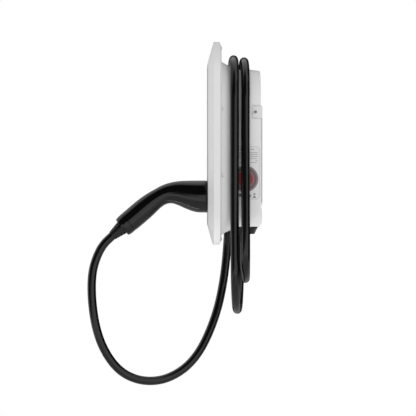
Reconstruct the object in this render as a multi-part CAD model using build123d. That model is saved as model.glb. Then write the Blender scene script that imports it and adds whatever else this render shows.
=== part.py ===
from build123d import *
import math
import os

os.makedirs("parts", exist_ok=True)

# Wall charging box for electric cars, with a tethered cable wound round its body and a parked connector.
# Millimetres. The wall is the plane Y = 0, the front faces -Y, and +Z is up.
# +X is to the right of someone facing the box.

# Front cover, sizes read from the photograph
cover_width = 187.0
cover_top = 177.4
cover_bottom = -160.5
cover_corner = 46.0
cover_rear = 70.5
cover_depth = 19.4
cover_wall = 3.0
bevel_depth = 9.1
bevel_width = 33.0

# Joint between cover and housing
spigot_gap = 0.3
spigot_wall = 1.5
spigot_height = 3.0
seal_inset = 14.0
seal_width = 2.4
seal_height = 1.5
tongue_gap = 0.2
screw_inset = 9.5
screw_shank_r = 1.4
screw_head_r = 2.6
screw_head_height = 2.0
screw_pocket_gap = 0.3
side_screw_heights = (64.5, -45.8)
end_screw_offset = 42.0

# Housing
flange_depth = 2.5
flange_lip = 0.6
flange_chamfer = 6.5
body_width = 140.0
body_top = 133.5
body_bottom = -130.5
body_corner_top = 50.0
body_corner_bottom = 26.0
body_wall = 3.0
flare = 14.5
flare_length = 30.0
crease = 18.0
rear_taper = 2.0
rear_round = 2.0

# Wall bracket and the recess that takes it
bracket_thickness = 2.3
bracket_inset = 4.0
bracket_top = 70.0
bracket_bottom = -96.0
recess_inset = 15.0
recess_depth = 9.7
hole_spacing_x = 90.0
hole_spacing_z = 120.0
hole_r = 2.75
ear_height = 20.4
ear_reach = 16.4
ear_thickness = 2.0
ear_corner = 5.0
ear_gap = 1.2
ear_seat = 0.2
ear_screw_set_back = 11.5
ear_screw_r = 1.5
ear_screw_head_r = 2.4
ear_screw_slot = 1.3
hook_centre = 30.0
hook_width = 24.0
hook_level = 48.0
hook_plate = 2.0
hook_lip = 5.0
bar_height = 4.0
bar_depth = 4.4
hook_gap = 0.3

# Status light
light_drop = 5.0
light_width = 24.0
light_bar = 2.6
light_gap = 0.15
light_flange = 1.2
light_proud = 0.5

# Holster and parked connector
holster_height = -79.9
nose_r = 24.0
nose_flat_ratio = 0.76
nose_gap = 0.25
holster_room = 5.3
nose_in_handle = 14.0
holster_wall = 2.2
holster_floor = 2.0
holster_flange = 6.0
holster_flange_thickness = 2.5
handle_gap = 0.3
seat_gap = 0.1
contact_room_r = 18.0
contact_room = 9.0
seam = 0.25
seam_rise = 50.0
seam_drop = 110.0
boot_length = 22.0
boot_start_r = 12.2
boot_end_wall = 0.6
boot_window = 2.3
boot_windows = 4
boot_window_start = 2.1
boot_web = 2.0

# Cable and gland
cable_d = 14.5
cable_gap = 0.1
gland_x = -22.0
gland_y = -26.0
gland_top_r = 22.0
gland_bottom_r = 16.6
gland_height = 13.0
gland_flange = 3.0
gland_thread_r = 12.0
gland_inside = 11.0
locknut_height = 5.0
locknut_flats = 32.0
seal_sleeve_r = 9.6

# Supply inlet in the back
inlet_inset = 32.0
inlet_z = -112.0
inlet_r = 8.0
inlet_wall = 3.0
inlet_flange = 3.0

# Electronics
board_thickness = 1.6
board_side_gap = 12.0
board_top = 108.0
board_bottom = -95.0
board_rear = 20.5
stud_r = 3.5
board_screw_r = 1.4
board_screw_head_r = 2.8
board_screw_head = 2.2
relay_size = (24.0, 20.0, 31.0)
relay_pitch = 28.0
relay_base = 2.0
sensor_r = 18.0
sensor_bore_r = 9.0
sensor_depth = 15.0
relay_level = -14.0
sensor_x = -26.0
sensor_z = -42.0
control_width = 100.0
control_height = 120.0
control_margin = 7.4
control_set_back = 5.7
control_post_inset = 6.0
control_post_drop = 18.0
lamp_width = 4.0
lamp_pitch = 8.0
radio_width = 28.0
radio_height = 26.0
radio_depth = 3.2
radio_drop = 28.0
board_screw_inset = 8.0
board_screw_levels = (-62.0, 30.0, 98.0)
transformer_x = -28.0
transformer_z = 83.0
transformer_width = 36.0
transformer_height = 34.0
transformer_depth = 27.0
transformer_lift = 3.0
bobbin_inset = 6.0
capacitor_r = 8.5
capacitor_depth = 26.0
capacitor_round = 1.0
capacitor_spots = ((14.0, 92.0), (34.0, 92.0), (14.0, 70.0))
terminal_depth = 18.0
terminal_top = -74.0
terminal_bottom = -92.0
terminal_edge = 1.0
terminal_wire_depth = 8.0
terminal_screw_r = 2.2
terminal_screw_depth = 4.0
terminal_screw_seat = 11.0
pole_pitch = 9.6
output_poles = 5
supply_poles = 4
supply_x0 = 12.0
output_wire_r = 2.4
supply_wire_r = 3.0
core_r = 1.1

cable_r = cable_d / 2
body_half = body_width / 2
cover_half = cover_width / 2
bracket_half_width = body_half - bracket_inset
recess_half_width = body_half - recess_inset
inlet_x = body_half - inlet_inset
board_half_width = body_half - board_side_gap
board_screw_x = board_half_width - board_screw_inset
body_rear = bracket_thickness
cover_front = cover_rear + cover_depth
flange_rear = cover_rear - flange_depth
flare_start = flange_rear - flare_length
light_height = cover_top - bevel_width - light_drop
control_top = light_height + control_margin
control_bottom = control_top - control_height
board_front = board_rear + board_thickness
nose_length = cover_front - handle_gap - holster_floor - holster_room - terminal_depth - board_front


# A plane across the depth of the box, at a distance in front of the wall
def at(distance):
    return Plane.XZ.offset(distance)


# A rounded outline seen from the front
def rounded(half, bottom, top, r_top, r_bottom):
    edges = [
        Line((-half + r_bottom, bottom), (half - r_bottom, bottom)),
        CenterArc((half - r_bottom, bottom + r_bottom), r_bottom, -90, 90),
        Line((half, bottom + r_bottom), (half, top - r_top)),
        CenterArc((half - r_top, top - r_top), r_top, 0, 90),
        Line((half - r_top, top), (-half + r_top, top)),
        CenterArc((-half + r_top, top - r_top), r_top, 90, 90),
        Line((-half, top - r_top), (-half, bottom + r_bottom)),
        CenterArc((-half + r_bottom, bottom + r_bottom), r_bottom, 180, 90),
    ]
    return make_face(edges)


def cover_outline(inset):
    r = max(cover_corner - inset, 2.0)
    return rounded(cover_half - inset, cover_bottom + inset, cover_top - inset, r, r)


def body_outline(extra):
    return rounded(
        body_half + extra,
        body_bottom - extra,
        body_top + extra,
        body_corner_top + extra,
        body_corner_bottom + extra,
    )


# Back of the body: drawn in at the sides and the top, level at the bottom
def rear_outline(inset):
    return rounded(
        body_half - rear_taper - inset,
        body_bottom + inset,
        body_top - rear_taper - inset,
        body_corner_top - inset,
        body_corner_bottom - inset,
    )


# Solid between two distances from the wall with a constant outline
def prism(outline, near, far):
    return extrude(at(near) * outline, far - near)


def taper(outline_near, near, outline_far, far):
    return loft([at(near) * outline_near, at(far) * outline_far], ruled=True)


def box(x0, x1, y0, y1, z0, z1):
    return Pos((x0 + x1) / 2, (y0 + y1) / 2, (z0 + z1) / 2) * Box(
        abs(x1 - x0), abs(y1 - y0), abs(z1 - z0)
    )


# Round bar along the depth, from one distance in front of the wall to another
def bar_y(x, z, r, near, far):
    return extrude(at(near) * (Pos(x, z) * Circle(r)), far - near)


def bar_z(x, y, r, z0, z1):
    return extrude(Plane.XY.offset(z0) * (Pos(x, y) * Circle(r)), z1 - z0)


def save(shape, name):
    export_step(shape, "parts/" + name + ".step")


# Pieces that share one node
def group(shapes):
    return Compound(children=list(shapes))


# Front cover: a tray with a wide bevel round a flat face
outer_cover = prism(cover_outline(0), cover_rear, cover_front - bevel_depth) + taper(
    cover_outline(0), cover_front - bevel_depth, cover_outline(bevel_width), cover_front
)
inner_cover = prism(
    cover_outline(cover_wall), cover_rear, cover_front - bevel_depth - cover_wall
) + taper(
    cover_outline(cover_wall),
    cover_front - bevel_depth - cover_wall,
    cover_outline(cover_wall + bevel_width),
    cover_front - cover_wall,
)
front_cover = outer_cover - inner_cover

# Tongue that presses on the seal
tongue_in = seal_inset + tongue_gap
tongue_out = seal_inset + seal_width - tongue_gap
tongue_ring = prism(cover_outline(tongue_in), cover_rear + seal_height, cover_front) - prism(
    cover_outline(tongue_out), cover_rear + seal_height, cover_front
)
front_cover += tongue_ring & outer_cover

# Posts for the cover screws
side_x = cover_half - screw_inset
top_z = cover_top - screw_inset
bottom_z = cover_bottom + screw_inset
screw_spots = [(side, z) for side in (-side_x, side_x) for z in side_screw_heights]
screw_spots += [(x, z) for x in (-end_screw_offset, end_screw_offset) for z in (top_z, bottom_z)]
post_r = screw_shank_r + 2.4
for x, z in screw_spots:
    front_cover += bar_y(x, z, post_r, cover_rear, cover_front) & outer_cover
screw_hold = 6.0
for x, z in screw_spots:
    front_cover -= bar_y(x, z, screw_shank_r, cover_rear, cover_rear + screw_hold)

# Openings for the holster and the status light
holster_bore_r = nose_r + nose_gap
holster_outer_r = holster_bore_r + holster_wall
front_cover -= bar_y(0, holster_height, holster_outer_r, cover_rear, cover_front + 1)
light_slot = Pos(0, light_height) * SlotOverall(light_width + 2 * light_gap, light_bar + 2 * light_gap)
front_cover -= extrude(at(cover_rear) * light_slot, cover_front - cover_rear + 1)

# Posts for the control board
control_front = cover_front - cover_wall - control_set_back
control_spots = [
    (x, z)
    for x in (-control_width / 2 + control_post_inset, control_width / 2 - control_post_inset)
    for z in (control_bottom + control_post_inset, control_top - control_post_drop)
]
for x, z in control_spots:
    front_cover += bar_y(x, z, stud_r, control_front, cover_front - cover_wall)
    front_cover -= bar_y(x, z, board_screw_r, control_front, control_front + 5)
save(front_cover, "front_cover")

# Status light lens, slightly proud of the front face and stepped behind it
light_rear = cover_front - cover_wall
status_light = extrude(
    at(light_rear) * (Pos(0, light_height) * SlotOverall(light_width, light_bar)), cover_wall + light_proud
)
status_light += extrude(
    at(light_rear - light_flange)
    * (Pos(0, light_height) * SlotOverall(light_width + 5, light_bar + 1.2)),
    light_flange,
)
save(status_light, "status_light_lens")

# Seal between cover and housing
cover_seal = prism(cover_outline(seal_inset), cover_rear, cover_rear + seal_height) - prism(
    cover_outline(seal_inset + seal_width), cover_rear, cover_rear + seal_height
)
save(cover_seal, "cover_seal")

# Housing: flange, flared neck and body
def neck(extra):
    steps = [(0.0, 0.0), (0.47, 0.386), (0.77, 0.676), (1.0, 1.0)]
    sections = [
        at(flare_start + t * flare_length) * body_outline(extra + k * flare) for t, k in steps
    ]
    return loft(sections)


body_back = taper(rear_outline(0), body_rear, body_outline(0), crease)
rear_edges = body_back.edges().filter_by_position(Axis.Y, -body_rear - 0.01, -body_rear + 0.01)
body_back = fillet(rear_edges, rear_round)
outer_body = body_back + prism(body_outline(0), crease, flare_start) + neck(0)
flange = taper(
    cover_outline(flange_lip + flange_chamfer), flange_rear, cover_outline(flange_lip), cover_rear
)
cavity_rear = body_rear + body_wall
cavity = (
    taper(
        rear_outline(body_wall),
        cavity_rear,
        body_outline(-body_wall),
        crease,
    )
    + prism(body_outline(-body_wall), crease, flare_start)
    + neck(-body_wall)
)
main_housing = outer_body - cavity + flange

# Mouth of the housing, inside the seal
shelf = seal_inset + seal_width + 1.6
mouth = rounded(
    cover_half - shelf,
    max(cover_bottom + shelf, body_bottom - flare + body_wall),
    min(cover_top - shelf, body_top + flare - body_wall),
    body_corner_top - 5,
    body_corner_bottom + 6,
)
main_housing -= prism(mouth, flange_rear - 0.5, cover_rear + 1)

# Spigot that centres the cover
spigot_in = cover_wall + spigot_gap
main_housing += prism(cover_outline(spigot_in), cover_rear, cover_rear + spigot_height) - prism(
    cover_outline(spigot_in + spigot_wall), cover_rear, cover_rear + spigot_height
)

# Columns and pockets for the cover screws
pocket_r = screw_head_r + screw_pocket_gap
full_body = outer_body + flange
for x, z in screw_spots:
    main_housing += bar_y(x, z, pocket_r + 1.6, flare_start, cover_rear) & full_body
screw_seat = flange_rear + 0.6
for x, z in screw_spots:
    main_housing -= bar_y(x, z, pocket_r, flare_start - 6, screw_seat)
    main_housing -= bar_y(x, z, screw_shank_r + 0.2, screw_seat - 1, cover_rear + 1)

# Recess in the back for the bracket
recess_top = bracket_top
recess_bottom = bracket_bottom
recess_floor = body_rear + recess_depth
recess_wall = body_wall
recess_block = box(
    -recess_half_width - recess_wall,
    recess_half_width + recess_wall,
    -recess_floor - recess_wall,
    -body_rear,
    recess_bottom - recess_wall,
    recess_top + recess_wall,
)
main_housing += recess_block & outer_body
main_housing -= box(
    -recess_half_width, recess_half_width, -recess_floor, 1, recess_bottom, recess_top
)

# Bar in the recess that hangs on the bracket's hooks
bar_bottom = hook_level + hook_plate
bar_rear = body_rear + 3.0
bar_front = bar_rear + bar_depth
main_housing += box(
    -recess_half_width, recess_half_width, -bar_front, -bar_rear, bar_bottom, bar_bottom + bar_height
)
web = hook_centre - hook_width / 2 - 6
main_housing += box(-web / 2, web / 2, -recess_floor, -bar_rear, bar_bottom, bar_bottom + bar_height)

# Columns for the power board
board_spots = [(x, z) for x in (-board_screw_x, board_screw_x) for z in board_screw_levels]
for x, z in board_spots:
    foot = body_rear + 1.5 if z > recess_top + recess_wall else recess_floor + 1.0
    main_housing += bar_y(x, z, stud_r, foot, board_rear)
for x, z in board_spots:
    main_housing -= bar_y(x, z, board_screw_r, board_rear - 5, board_rear)

# Pockets and screw columns for the bracket's ears
ear_top = bracket_top
ear_bottom = bracket_top - ear_height
ear_front = ear_reach
ear_inner = body_half - rear_taper - 0.6
ear_outer = ear_inner + ear_thickness
ear_screw_z = (ear_top + ear_bottom) / 2
ear_screw_length = 9.0


def mirrored(shape):
    return mirror(shape, about=Plane.YZ)


ear_backing = box(
    ear_inner - body_wall - 1, body_half, -ear_front - 3, -body_rear, ear_bottom - 3, ear_top + 3
)
ear_pocket = box(
    ear_inner - ear_seat, body_half + 5, -ear_front - ear_gap, 1, ear_bottom - ear_gap, ear_top + ear_gap
)
ear_column = Plane.YZ.offset(ear_inner - ear_seat - ear_screw_length) * (
    Pos(-ear_screw_set_back, ear_screw_z) * Circle(ear_screw_r + 2.5)
)
ear_column = extrude(ear_column, ear_screw_length)
ear_bore = Plane.YZ.offset(ear_inner - ear_seat - ear_screw_length + 1.5) * (
    Pos(-ear_screw_set_back, ear_screw_z) * Circle(ear_screw_r)
)
ear_bore = extrude(ear_bore, ear_screw_length)
for backing, column, pocket, bore in (
    (ear_backing, ear_column, ear_pocket, ear_bore),
    (mirrored(ear_backing), mirrored(ear_column), mirrored(ear_pocket), mirrored(ear_bore)),
):
    main_housing += backing & outer_body
    main_housing += column
    main_housing -= pocket
    main_housing -= bore

# Flat seat for the gland, inside and out
gland_floor = body_bottom + body_wall
locknut_room_r = locknut_flats / math.sqrt(3) + 0.6
main_housing += bar_z(gland_x, gland_y, gland_top_r + 2.5, body_bottom - 6, gland_floor) & outer_body
main_housing -= bar_z(gland_x, gland_y, gland_top_r + 0.3, body_bottom - 30, body_bottom)
main_housing -= bar_z(gland_x, gland_y, locknut_room_r, gland_floor, gland_floor + locknut_height)

# Holes for the gland and the supply inlet
main_housing -= bar_z(gland_x, gland_y, gland_thread_r + 0.2, body_bottom - 5, gland_floor + 5)
inlet_hole_r = inlet_r + inlet_wall
main_housing -= bar_y(inlet_x, inlet_z, inlet_hole_r, body_rear - 1, cavity_rear + 1)
save(main_housing, "main_housing")

# Cover screws, driven from behind
cover_screws = []
for x, z in screw_spots:
    head = bar_y(x, z, screw_head_r, screw_seat - screw_head_height, screw_seat)
    head -= bar_y(x, z, 1.0, screw_seat - screw_head_height, screw_seat - screw_head_height + 1.2)
    shank = bar_y(x, z, screw_shank_r, screw_seat, cover_rear + screw_hold)
    cover_screws.append(head + shank)
save(group(cover_screws), "cover_screws")

# Wall bracket: plate, hooks and folded ears
wall_bracket = box(
    -bracket_half_width, bracket_half_width, -bracket_thickness, 0, bracket_bottom, bracket_top
)
corner_edges = wall_bracket.edges().filter_by(Axis.Y).sort_by(Axis.Z)[:2]
wall_bracket = fillet(corner_edges, 8)
pattern_z = (bracket_top + bracket_bottom) / 2
for x in (-hole_spacing_x / 2, hole_spacing_x / 2):
    for z in (pattern_z - hole_spacing_z / 2, pattern_z + hole_spacing_z / 2):
        wall_bracket -= bar_y(x, z, hole_r, -1, bracket_thickness + 1)
hook_front = bar_front + hook_gap
hook_far = hook_front + 1.2
for x in (-hook_centre, hook_centre):
    wall_bracket += box(
        x - hook_width / 2, x + hook_width / 2, -hook_far, -bracket_thickness, hook_level, bar_bottom
    )
    wall_bracket += box(
        x - hook_width / 2, x + hook_width / 2, -hook_far, -hook_front, bar_bottom, bar_bottom + hook_lip
    )
ear_plate = box(ear_inner, ear_outer, -ear_front, 0, ear_bottom, ear_top)
ear_edges = ear_plate.edges().filter_by(Axis.X).sort_by(Axis.Y)[:2]
ear_plate = fillet(ear_edges, ear_corner)
ear_foot = box(bracket_half_width - 1, ear_outer, -bracket_thickness, 0, ear_bottom, ear_top)
ear_hole = Plane.YZ.offset(ear_inner - 1) * (
    Pos(-ear_screw_set_back, ear_screw_z) * Circle(ear_screw_r + 0.2)
)
ear_hole = extrude(ear_hole, ear_thickness + 2)
ear_solid = ear_plate + ear_foot - ear_hole
wall_bracket += ear_solid
wall_bracket += mirrored(ear_solid)
save(wall_bracket, "wall_bracket")

# Screws through the ears
ear_screw = Plane.YZ.offset(ear_inner - ear_seat - ear_screw_length + 2) * (
    Pos(-ear_screw_set_back, ear_screw_z) * Circle(ear_screw_r)
)
ear_screw = extrude(ear_screw, ear_outer - (ear_inner - ear_seat - ear_screw_length + 2))
ear_head = Plane.YZ.offset(ear_outer) * (
    Pos(-ear_screw_set_back, ear_screw_z) * Circle(ear_screw_head_r)
)
ear_screw += extrude(ear_head, 1.0)
ear_drive = Plane.YZ.offset(ear_outer + 0.4) * (
    Pos(-ear_screw_set_back, ear_screw_z) * Rectangle(ear_screw_slot, 3 * ear_screw_head_r)
)
ear_screw -= extrude(ear_drive, 1.0)
save(group([ear_screw, mirrored(ear_screw)]), "ear_screws")

# Holster cup behind the front face, with a flat on top like the connector's nose
def nose_shape(r):
    return (Pos(0, holster_height) * Circle(r)) & (
        Pos(0, holster_height - r + nose_flat_ratio * r) * Rectangle(3 * r, 2 * r)
    )


holster_rear = cover_front - handle_gap - nose_length
cup_floor = holster_rear - holster_floor
holster_cup = bar_y(0, holster_height, holster_outer_r - 0.15, cup_floor, cover_front)
holster_cup -= extrude(at(holster_rear) * nose_shape(holster_bore_r), cover_front - holster_rear + 1)
inside_face = cover_front - cover_wall
holster_ring = bar_y(
    0, holster_height, holster_outer_r + holster_flange, inside_face - holster_flange_thickness, inside_face
)
holster_ring -= bar_y(0, holster_height, holster_outer_r - 1, 0, cover_front)
holster_cup += holster_ring
holster_cup -= bar_z(0, -(holster_rear + 6), 2.0, holster_height - 40, holster_height)
save(holster_cup, "holster_cup")

# Connector: nose with contacts, parked in the holster
handle_front = cover_front + handle_gap
nose_back = handle_front + nose_in_handle
nose = extrude(at(holster_rear + 0.2) * nose_shape(nose_r), nose_back - holster_rear - 0.2)
power_r = 3.1
signal_r = 1.6
contact_ring = 10.6
contact_spots = [
    (0.0, 0.0, power_r),
    (-contact_ring, 0.0, power_r),
    (contact_ring, 0.0, power_r),
    (-contact_ring / 2, -contact_ring * 0.9, power_r),
    (contact_ring / 2, -contact_ring * 0.9, power_r),
    (-contact_ring / 2, contact_ring * 0.85, signal_r),
    (contact_ring / 2, contact_ring * 0.85, signal_r),
]
well = extrude(at(holster_rear) * nose_shape(nose_r - 3.2), 12.0)
nose -= well
for x, z, r in contact_spots:
    nose += bar_y(x, holster_height + z, r + 2.0, holster_rear + 1.0, holster_rear + 12.5)
for x, z, r in contact_spots:
    nose -= bar_y(x, holster_height + z, r, holster_rear - 1, nose_back + 1)
save(nose, "connector_nose")

contacts = []
for x, z, r in contact_spots:
    sleeve = bar_y(x, holster_height + z, r, holster_rear + 4.0, nose_back + 5)
    sleeve -= bar_y(x, holster_height + z, r - 0.8, holster_rear + 4.0, holster_rear + 30.0)
    contacts.append(sleeve)
save(group(contacts), "connector_contacts")

# Handle, as sections along its bent axis:
# distance from its front, rise above the holster, tilt, width, thickness
handle_sections = [
    (0.0, -0.1, 0.0, 53.6, 53.8),
    (22.8, 0.9, 0.0, 52.8, 52.3),
    (37.8, 3.5, 0.0, 50.6, 46.5),
    (52.1, 5.8, 3.0, 47.4, 39.4),
    (65.8, 5.1, 14.0, 44.2, 33.9),
    (80.7, -0.8, 28.0, 42.5, 31.2),
    (95.9, -11.4, 37.0, 42.0, 34.2),
    (108.0, -21.5, 39.5, 42.0, 36.2),
    (116.3, -28.6, 40.0, 42.0, 36.5),
    (124.5, -35.6, 40.0, 42.0, 36.4),
    (132.7, -42.3, 40.0, 42.0, 36.2),
]
tail_reach = 144.1
tail_rise = -52.1
tail_tilt = 40.0
tail_width = 38.5
tail_thickness = 33.0
cap_band = 4.0
cap_groove = 0.8
corner_ratio = 0.46


# A plane across the handle's axis
def across(reach, rise, tilt):
    t = math.radians(tilt)
    return Plane(
        origin=(0, -handle_front - reach, holster_height + rise),
        x_dir=(1, 0, 0),
        z_dir=(0, -math.cos(t), -math.sin(t)),
    )


def grip(width, thickness):
    return RectangleRounded(width, thickness, corner_ratio * min(width, thickness))


handle_solid = loft([across(d, h, t) * grip(w, k) for d, h, t, w, k in handle_sections])

# Pocket at the front of the handle that carries the nose, and the room behind it for the contacts
nose_pocket = extrude(at(handle_front - 1) * nose_shape(nose_r + seat_gap), nose_back - handle_front + 1)
nose_pocket += bar_y(0, holster_height + 2, contact_room_r, nose_back, nose_back + contact_room)

# Seams on the side of the handle: distance from its front and rise above the holster
cap_seam = [(62.3, 25.9), (56.5, 21.3), (46.3, 15.1), (31.1, 8.3), (15.8, 3.7), (-2.0, 2.1)]
grip_seam = [
    (123.4, -66.1),
    (122.0, -51.1),
    (116.8, -41.3),
    (103.2, -28.6),
    (88.0, -16.0),
    (77.5, -9.2),
    (63.9, -7.0),
    (50.2, -9.0),
    (38.2, -13.6),
    (22.9, -18.9),
    (-2.0, -21.5),
]


def seam_region(points, corner_rise, shift):
    corner_level = holster_height + corner_rise
    line = [(-handle_front - d, holster_height + h + shift) for d, h in points]
    edge = Spline(*line)
    first, last = line[0], line[-1]
    back = Polyline(last, (last[0] + 5, corner_level), (first[0] - 5, corner_level), first)
    face = make_face(edge.edges() + back.edges())
    return extrude(Plane.YZ * face, cover_half, both=True)


top_cap = (handle_solid & seam_region(cap_seam, seam_rise, seam / 2)) - nose_pocket
grip_strip = (handle_solid & seam_region(grip_seam, -seam_drop, -seam / 2)) - nose_pocket
handle_body = handle_solid - seam_region(cap_seam, seam_rise, -seam / 2)
handle_body = handle_body - seam_region(grip_seam, -seam_drop, seam / 2) - nose_pocket
save(top_cap, "connector_top_cap")
save(grip_strip, "connector_grip")
save(handle_body, "connector_handle")

# End cap of the handle
last_reach, last_rise, last_tilt, last_width, last_thickness = handle_sections[-1]
tail = math.radians(tail_tilt)
axis_y, axis_z = -math.cos(tail), -math.sin(tail)
cap_start = across(last_reach - seam * axis_y, last_rise + seam * axis_z, last_tilt)
cap_middle = across(tail_reach + cap_band * axis_y, tail_rise - cap_band * axis_z, tail_tilt)
cap_end = across(tail_reach, tail_rise, tail_tilt)
cap_shoulder = grip(last_width - 1, last_thickness - 0.8)
cap_neck = grip(last_width - 2 * cap_groove, last_thickness - 2 * cap_groove)
cap_rim = cap_start.offset(cap_groove)
end_cap = extrude(cap_start * cap_neck, cap_groove)
end_cap += loft([cap_rim * grip(last_width, last_thickness), cap_middle * cap_shoulder], ruled=True)
end_cap += loft([cap_middle * cap_shoulder, cap_end * grip(tail_width, tail_thickness)], ruled=True)
cap_hole_r = cable_r + cable_gap
end_cap -= extrude(cap_start.offset(-1) * Circle(cap_hole_r), 30)
save(end_cap, "connector_end_cap")

# Boot that guards the cable at the handle
boot_plane = cap_end
boot_profile = Polyline(
    (cap_hole_r, 0),
    (boot_start_r, 0),
    (boot_start_r - 0.4, 2.5),
    (cap_hole_r + boot_end_wall, boot_length),
    (cap_hole_r, boot_length),
    close=True,
)
boot = revolve(Plane.XZ * make_face(boot_profile), Axis.Z)
boot_pitch = (boot_length - boot_window_start) / boot_windows
boot_slope = (boot_start_r - cap_hole_r - boot_end_wall) / boot_length
for i in range(boot_windows):
    middle = boot_window_start + boot_window / 2 + i * boot_pitch
    edge = boot_start_r - boot_slope * (middle + boot_window / 2) - boot_end_wall
    tall = boot_window * (1.0 - 0.13 * i)
    for side in (-1, 1):
        for face in (-1, 1):
            boot -= Pos(face * (boot_web / 2 + boot_start_r / 2), side * (edge - tall / 2), middle) * Box(
                boot_start_r, tall, boot_window
            )
boot = boot_plane.location * boot
save(boot, "strain_relief_boot")

# Gland at the bottom of the housing
gland_seat = body_bottom
gland_thread = 6.0
gland_body = bar_z(
    gland_x, gland_y, gland_thread_r, gland_seat - gland_flange - gland_thread, gland_seat + gland_inside
)
gland_body += bar_z(gland_x, gland_y, gland_top_r, gland_seat - gland_flange, gland_seat)
gland_body -= bar_z(gland_x, gland_y, seal_sleeve_r, gland_seat - 20, gland_seat + 6)
gland_body -= bar_z(gland_x, gland_y, cap_hole_r, gland_seat, gland_seat + 20)
save(gland_body, "gland_body")

nut_top = gland_seat - gland_flange
nut_bottom = gland_seat - gland_height
gland_nut = loft(
    [
        Plane.XY.offset(nut_top) * (Pos(gland_x, gland_y) * Circle(gland_top_r - 0.8)),
        Plane.XY.offset(nut_bottom) * (Pos(gland_x, gland_y) * Circle(gland_bottom_r)),
    ],
    ruled=True,
)
rib_count = 18
for i in range(rib_count):
    a = 2 * math.pi * i / rib_count
    r = gland_top_r + 0.1
    rib_x, rib_y = gland_x + r * math.cos(a), gland_y + r * math.sin(a)
    gland_nut -= bar_z(rib_x, rib_y, 1.6, nut_bottom - 1, nut_top - 1.5)
gland_nut -= bar_z(gland_x, gland_y, gland_thread_r, nut_top - gland_thread, nut_top + 1)
gland_nut -= bar_z(gland_x, gland_y, cap_hole_r, nut_bottom - 1, nut_top)
save(gland_nut, "gland_nut")

gland_seal = bar_z(gland_x, gland_y, seal_sleeve_r, nut_top - gland_thread, gland_seat + 6)
gland_seal -= bar_z(gland_x, gland_y, cap_hole_r, nut_top - 8, gland_seat + 8)
save(gland_seal, "gland_seal")

locknut_seat = body_bottom + body_wall
gland_locknut = extrude(
    Plane.XY.offset(locknut_seat)
    * (Pos(gland_x, gland_y) * RegularPolygon(locknut_flats / 2, 6, major_radius=False)),
    locknut_height,
)
locknut_top = locknut_seat + locknut_height
gland_locknut -= bar_z(gland_x, gland_y, gland_thread_r, locknut_seat - 1, locknut_top + 1)
save(gland_locknut, "gland_locknut")

# Supply inlet grommet
grommet = bar_y(inlet_x, inlet_z, inlet_hole_r, body_rear, cavity_rear)
grommet += bar_y(inlet_x, inlet_z, inlet_hole_r + inlet_flange, body_rear - 1.8, body_rear)
grommet += bar_y(inlet_x, inlet_z, inlet_hole_r + inlet_flange - 1, cavity_rear, cavity_rear + 2)
grommet -= bar_y(inlet_x, inlet_z, inlet_r, -1, cavity_rear + 4)
save(grommet, "supply_grommet")

# Power board
power_board = box(
    -board_half_width, board_half_width, -board_front, -board_rear, board_bottom, board_top
)
for x, z in board_spots:
    power_board -= bar_y(x, z, board_screw_r + 0.2, board_rear - 1, board_front + 1)
save(power_board, "power_board")

board_screws = []
for x, z in board_spots:
    screw = bar_y(x, z, board_screw_r, board_rear - 4, board_front)
    screw += bar_y(x, z, board_screw_head_r, board_front, board_front + board_screw_head)
    screw -= bar_y(x, z, 1.1, board_front + 1.0, board_front + board_screw_head)
    board_screws.append(screw)
for x, z in control_spots:
    screw_face = control_front - board_thickness
    screw = bar_y(x, z, board_screw_r, screw_face, control_front + 4)
    screw += bar_y(x, z, board_screw_head_r, screw_face - board_screw_head, screw_face)
    board_screws.append(screw)
save(group(board_screws), "board_screws")

# Relays, one for each line
relay_w, relay_d, relay_h = relay_size
relay_front = -board_front - relay_d
relay_foot = -board_front - relay_base
relay_top = relay_level + relay_h
for i in range(4):
    x0 = (i - 1.5) * relay_pitch - relay_w / 2
    x1 = x0 + relay_w
    case = box(x0, x1, relay_front, relay_foot, relay_level, relay_top)
    case = chamfer(case.edges().filter_by(Axis.Y), 1.2)
    foot = box(x0 + 1, x1 - 1, relay_foot, -board_front, relay_level + 1, relay_top - 1)
    save(case + foot, "relay_" + str(i + 1))

# Residual current sensor
sensor = bar_y(sensor_x, sensor_z, sensor_r, board_front, board_front + sensor_depth)
sensor -= bar_y(sensor_x, sensor_z, sensor_bore_r, board_front, board_front + sensor_depth + 1)
save(sensor, "current_sensor")

# Power supply: transformer and capacitors
core_x0 = transformer_x - transformer_width / 2
core_x1 = transformer_x + transformer_width / 2
core_z0 = transformer_z - transformer_height / 2
core_z1 = transformer_z + transformer_height / 2
core_rear = -board_front - transformer_lift
core_front = core_rear - transformer_depth
bob_x0, bob_x1 = core_x0 + bobbin_inset, core_x1 - bobbin_inset
bob_z0, bob_z1 = core_z0 + bobbin_inset, core_z1 - bobbin_inset
core = box(core_x0, core_x1, core_front, core_rear, core_z0, core_z1)
core -= box(bob_x0, bob_x1, core_front - 1, core_rear + 1, bob_z0, bob_z1)
bobbin = box(bob_x0, bob_x1, core_front + transformer_lift, -board_front, bob_z0, bob_z1)
save(core, "transformer_core")
save(bobbin, "transformer_bobbin")
capacitors = []
for x, z in capacitor_spots:
    can = bar_y(x, z, capacitor_r, board_front, board_front + capacitor_depth)
    capacitors.append(fillet(can.edges().sort_by(Axis.Y)[:1], capacitor_round))
save(group(capacitors), "capacitors")

# Terminal blocks
terminal_middle = (terminal_top + terminal_bottom) / 2
terminal_front = board_front + terminal_depth
screw_seat_depth = board_front + terminal_screw_seat
wire_y = -board_front - terminal_wire_depth


def pole_x(x0, i):
    return x0 + terminal_edge + (i + 0.5) * pole_pitch


def terminal_block(x0, poles, wire_r):
    x1 = x0 + poles * pole_pitch + 2 * terminal_edge
    block = box(x0, x1, -terminal_front, -board_front, terminal_bottom, terminal_top)
    for i in range(poles):
        x = pole_x(x0, i)
        block -= bar_z(x, wire_y, wire_r, terminal_bottom - 1, terminal_middle + 3)
        block -= bar_y(x, terminal_middle, terminal_screw_r, screw_seat_depth, terminal_front + 1)
    return block


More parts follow.
